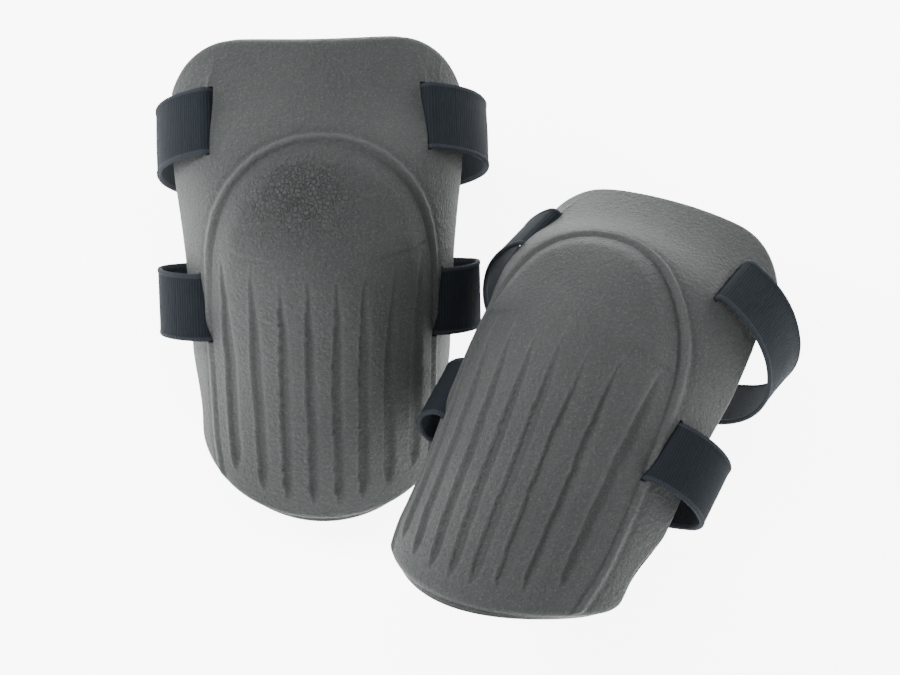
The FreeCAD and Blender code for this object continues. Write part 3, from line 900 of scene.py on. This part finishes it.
def stitches(name, spots, material):
    """Short rounded thread stitches as one mesh: each spot is (place, direction, up)."""
    sides = 6
    rings = [(-1.0, 0.35), (-0.8, 0.85), (0.0, 1.0), (0.8, 0.85), (1.0, 0.35)]
    verts, faces = [], []
    for point, direction, up in spots:
        across = np.cross(direction, up)
        base = len(verts)
        for along, girth in rings:
            sag = (1 - along ** 2) * 0.1
            centre = point + direction * along * STITCH_LENGTH / 2
            radius = STITCH_RADIUS * girth
            for k in range(sides):
                a = 2 * math.pi * k / sides
                rise = math.sin(a) * radius * 0.7 + sag
                verts.append(centre + across * math.cos(a) * radius + up * rise)
        last = base + (len(rings) - 1) * sides
        for low in range(base, last, sides):
            for k in range(sides):
                turned = (k + 1) % sides
                faces.append([low + k, low + turned, low + sides + turned, low + sides + k])
        faces.append([base + k for k in range(sides)][::-1])
        faces.append([last + k for k in range(sides)])
    return new_mesh(name, np.array(verts) * MM, faces, material)


def make_strap(pad, strap, kind, mats):
    """One half of a strap: its sewn end, its band, and the tape and thread on the band."""
    root = pad + "_pad"
    body = "%s_%s_hook_half" % (pad, strap) if kind == "hook" else root
    stem = "%s_%s_%s" % (pad, strap, kind)
    side_name = "outer" if kind == "hook" else "inner"
    matrix = strap_matrix(pad, strap, kind)
    path, mouth = strap_path(strap, pad, kind)
    length = running_length(path)
    split = int(np.argmax(length > mouth + 12.0))

    root_end = ribbon(stem + "_strap_root", path[:split + 1], STRAP_HALF, STRAP_WIDTH, mats["elastic"],
                      SELVEDGE)
    holder = None if kind == "hook" else root
    place(root_end, matrix, holder, "elastic", "%s_%s_%s_strap_anchor" % (pad, strap, side_name))
    if kind == "hook":
        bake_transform(root_end)

    band = ribbon(stem + "_strap_band", path[split:], STRAP_HALF, STRAP_WIDTH, mats["elastic"],
                  SELVEDGE, uv_start=length[split], wave=0.25)
    place(band, matrix, body, "elastic", stem + "_strap")
    make_tape(strap, pad, kind, matrix, body, mats)


def make_tape(strap, pad, kind, matrix, body, mats):
    """The hook or loop tape on one half of a strap, and the thread along its edges."""
    stem = "%s_%s_%s" % (pad, strap, kind)
    arc = loop_arcs(strap, pad, kind)[-1]
    side = KINDS[kind]
    first, last = sorted(-side * d for d in PATCH_SPAN[kind])
    offset = -side * (STRAP_HALF + PATCH / 2)
    marks = np.linspace(first, last, int((last - first) / 1.5) + 2)
    points = np.array([arc_at(arc, d, offset)[0] for d in marks])
    tape = ribbon(stem + "_tape", points, PATCH / 2, PATCH_WIDTH, mats[kind])
    place(tape, matrix, body, kind + "_tape", stem + "_patch")

    spots = []
    count = int((last - first) / STITCH_PITCH)
    for i in range(count):
        d = first + (i + 0.5) * (last - first) / count
        point, outward, onward = arc_at(arc, d, side * (STRAP_HALF + 0.1))
        for row in (-1, 1):
            spot = np.array([*point, row * (PATCH_WIDTH / 2 - STITCH_INSET)])
            spots.append((spot, np.array([*onward, 0.0]), side * np.array([*outward, 0.0])))
    thread = stitches(stem + "_tape_thread", spots, mats["thread"])
    place(thread, matrix, body, "thread", stem + "_patch_stitches")


def anchor_spots(strap):
    """Two rows of stitches across the folded end of a strap, in the strap's frame."""
    ex, ey = slope_directions(strap)
    face = SLOT[strap]["bar"] - BAR_RADIUS + 0.1
    spots = []
    for row in ANCHOR_ROWS:
        for i in range(7):
            point = ex * row + ey * face + np.array([0, 0, (i - 3) * STITCH_PITCH])
            spots.append((point, np.array([0.0, 0.0, 1.0]), ey))
    return spots


def make_anchor_thread(pad, mats):
    """The thread that closes the folded ends of one pad's straps, as one piece."""
    pieces = []
    for strap in STRAPS:
        for kind in KINDS:
            piece = stitches("thread", anchor_spots(strap), mats["thread"])
            piece.data.transform(strap_matrix(pad, strap, kind))
            pieces.append(piece)
    bm = bmesh.new()
    for piece in pieces:
        bm.from_mesh(piece.data)
    bmesh.ops.recalc_face_normals(bm, faces=bm.faces)
    first = pieces[0]
    bm.to_mesh(first.data)
    bm.free()
    for piece in pieces[1:]:
        bpy.data.objects.remove(piece)
    first.name = pad + "_anchor_thread"
    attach(first, pad + "_pad")
    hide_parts(pad + "_anchor_stitches")


# ---------------------------------------------------------------- build

materials = {
    "foam": foam_material(),
    "elastic": elastic_material(),
    "hook": tape_material("hook_tape", (0.014, 0.016, 0.02, 1), (0.04, 0.045, 0.052, 1), 900.0, False),
    "loop": tape_material("loop_tape", (0.02, 0.023, 0.028, 1), (0.06, 0.067, 0.076, 1), 700.0, True),
    "thread": thread_material(),
    "plastic": plastic_material(),
    "floor": floor_material(),
}

for pad_name in PADS:
    make_shell(pad_name, materials["foam"])
    make_anchor_thread(pad_name, materials)
    for strap_name in STRAPS:
        for kind_name in KINDS:
            make_strap(pad_name, strap_name, kind_name, materials)

for node_name, node in frame["nodes"].items():
    if node_name.endswith("_retaining_bar"):
        node.data.materials.clear()
        node.data.materials.append(materials["plastic"])
        node.data.polygons.foreach_set("use_smooth", [True] * len(node.data.polygons))


# ---------------------------------------------------------------- studio

# Each light's place, size and power in watts; all face the middle of the pair.
LIGHTS = {
    "key": ((-1.1, 0.5, 1.25), (0.6, 0.6), 40.0),
    "overhead": ((0.1, 0.7, 1.8), (1.2, 0.8), 22.0),
    "fill": ((0.8, -1.3, 0.9), (1.0, 1.0), 17.0),
}
MIDDLE = Vector((0, 0, 0.05))
FLOOR_HALF = 4
WORLD_STRENGTH = 0.42
# The camera looks down on the left pad; the offset is from that pad's origin, in millimetres.
CAMERA_OFFSET = Vector((68.493, -364.033, 1563.4655))
CAMERA_ELEVATION = math.radians(78.0)
SENSOR_WIDTH, FOCAL_LENGTH = 36.0, 119.04


def add_light(name, where, size, power):
    """A rectangular light aimed at the middle of the pair."""
    light = bpy.data.lights.new(name, "AREA")
    light.shape = "RECTANGLE"
    light.size, light.size_y = size
    light.energy = power
    obj = add_object(name, light)
    obj.location = where
    obj.rotation_euler = (MIDDLE - Vector(where)).to_track_quat("-Z", "Y").to_euler()


def add_camera():
    """A long lens, high over the pair and square to the left pad."""
    data = bpy.data.cameras.new("camera")
    data.sensor_width = SENSOR_WIDTH
    data.lens = FOCAL_LENGTH
    data.clip_start = 0.05
    data.clip_end = 20.0
    camera = add_object("camera", data)
    camera.location = pad_matrix("left").translation + CAMERA_OFFSET * MM
    camera.rotation_euler = (math.pi / 2 - CAMERA_ELEVATION, 0, 0)
    bpy.context.scene.camera = camera


def make_studio():
    """Floor, lights, even white surroundings and camera."""
    corners = [(-1, -1, 0), (1, -1, 0), (1, 1, 0), (-1, 1, 0)]
    floor = new_mesh("floor", np.array(corners) * FLOOR_HALF, [(0, 1, 2, 3)], materials["floor"])
    for name, (where, size, power) in LIGHTS.items():
        add_light(name, where, size, power)
    world = bpy.data.worlds.new("studio")
    world.use_nodes = True
    back = world.node_tree.nodes["Background"]
    back.inputs["Color"].default_value = (1, 1, 1, 1)
    back.inputs["Strength"].default_value = WORLD_STRENGTH
    bpy.context.scene.world = world
    add_camera()


make_studio()
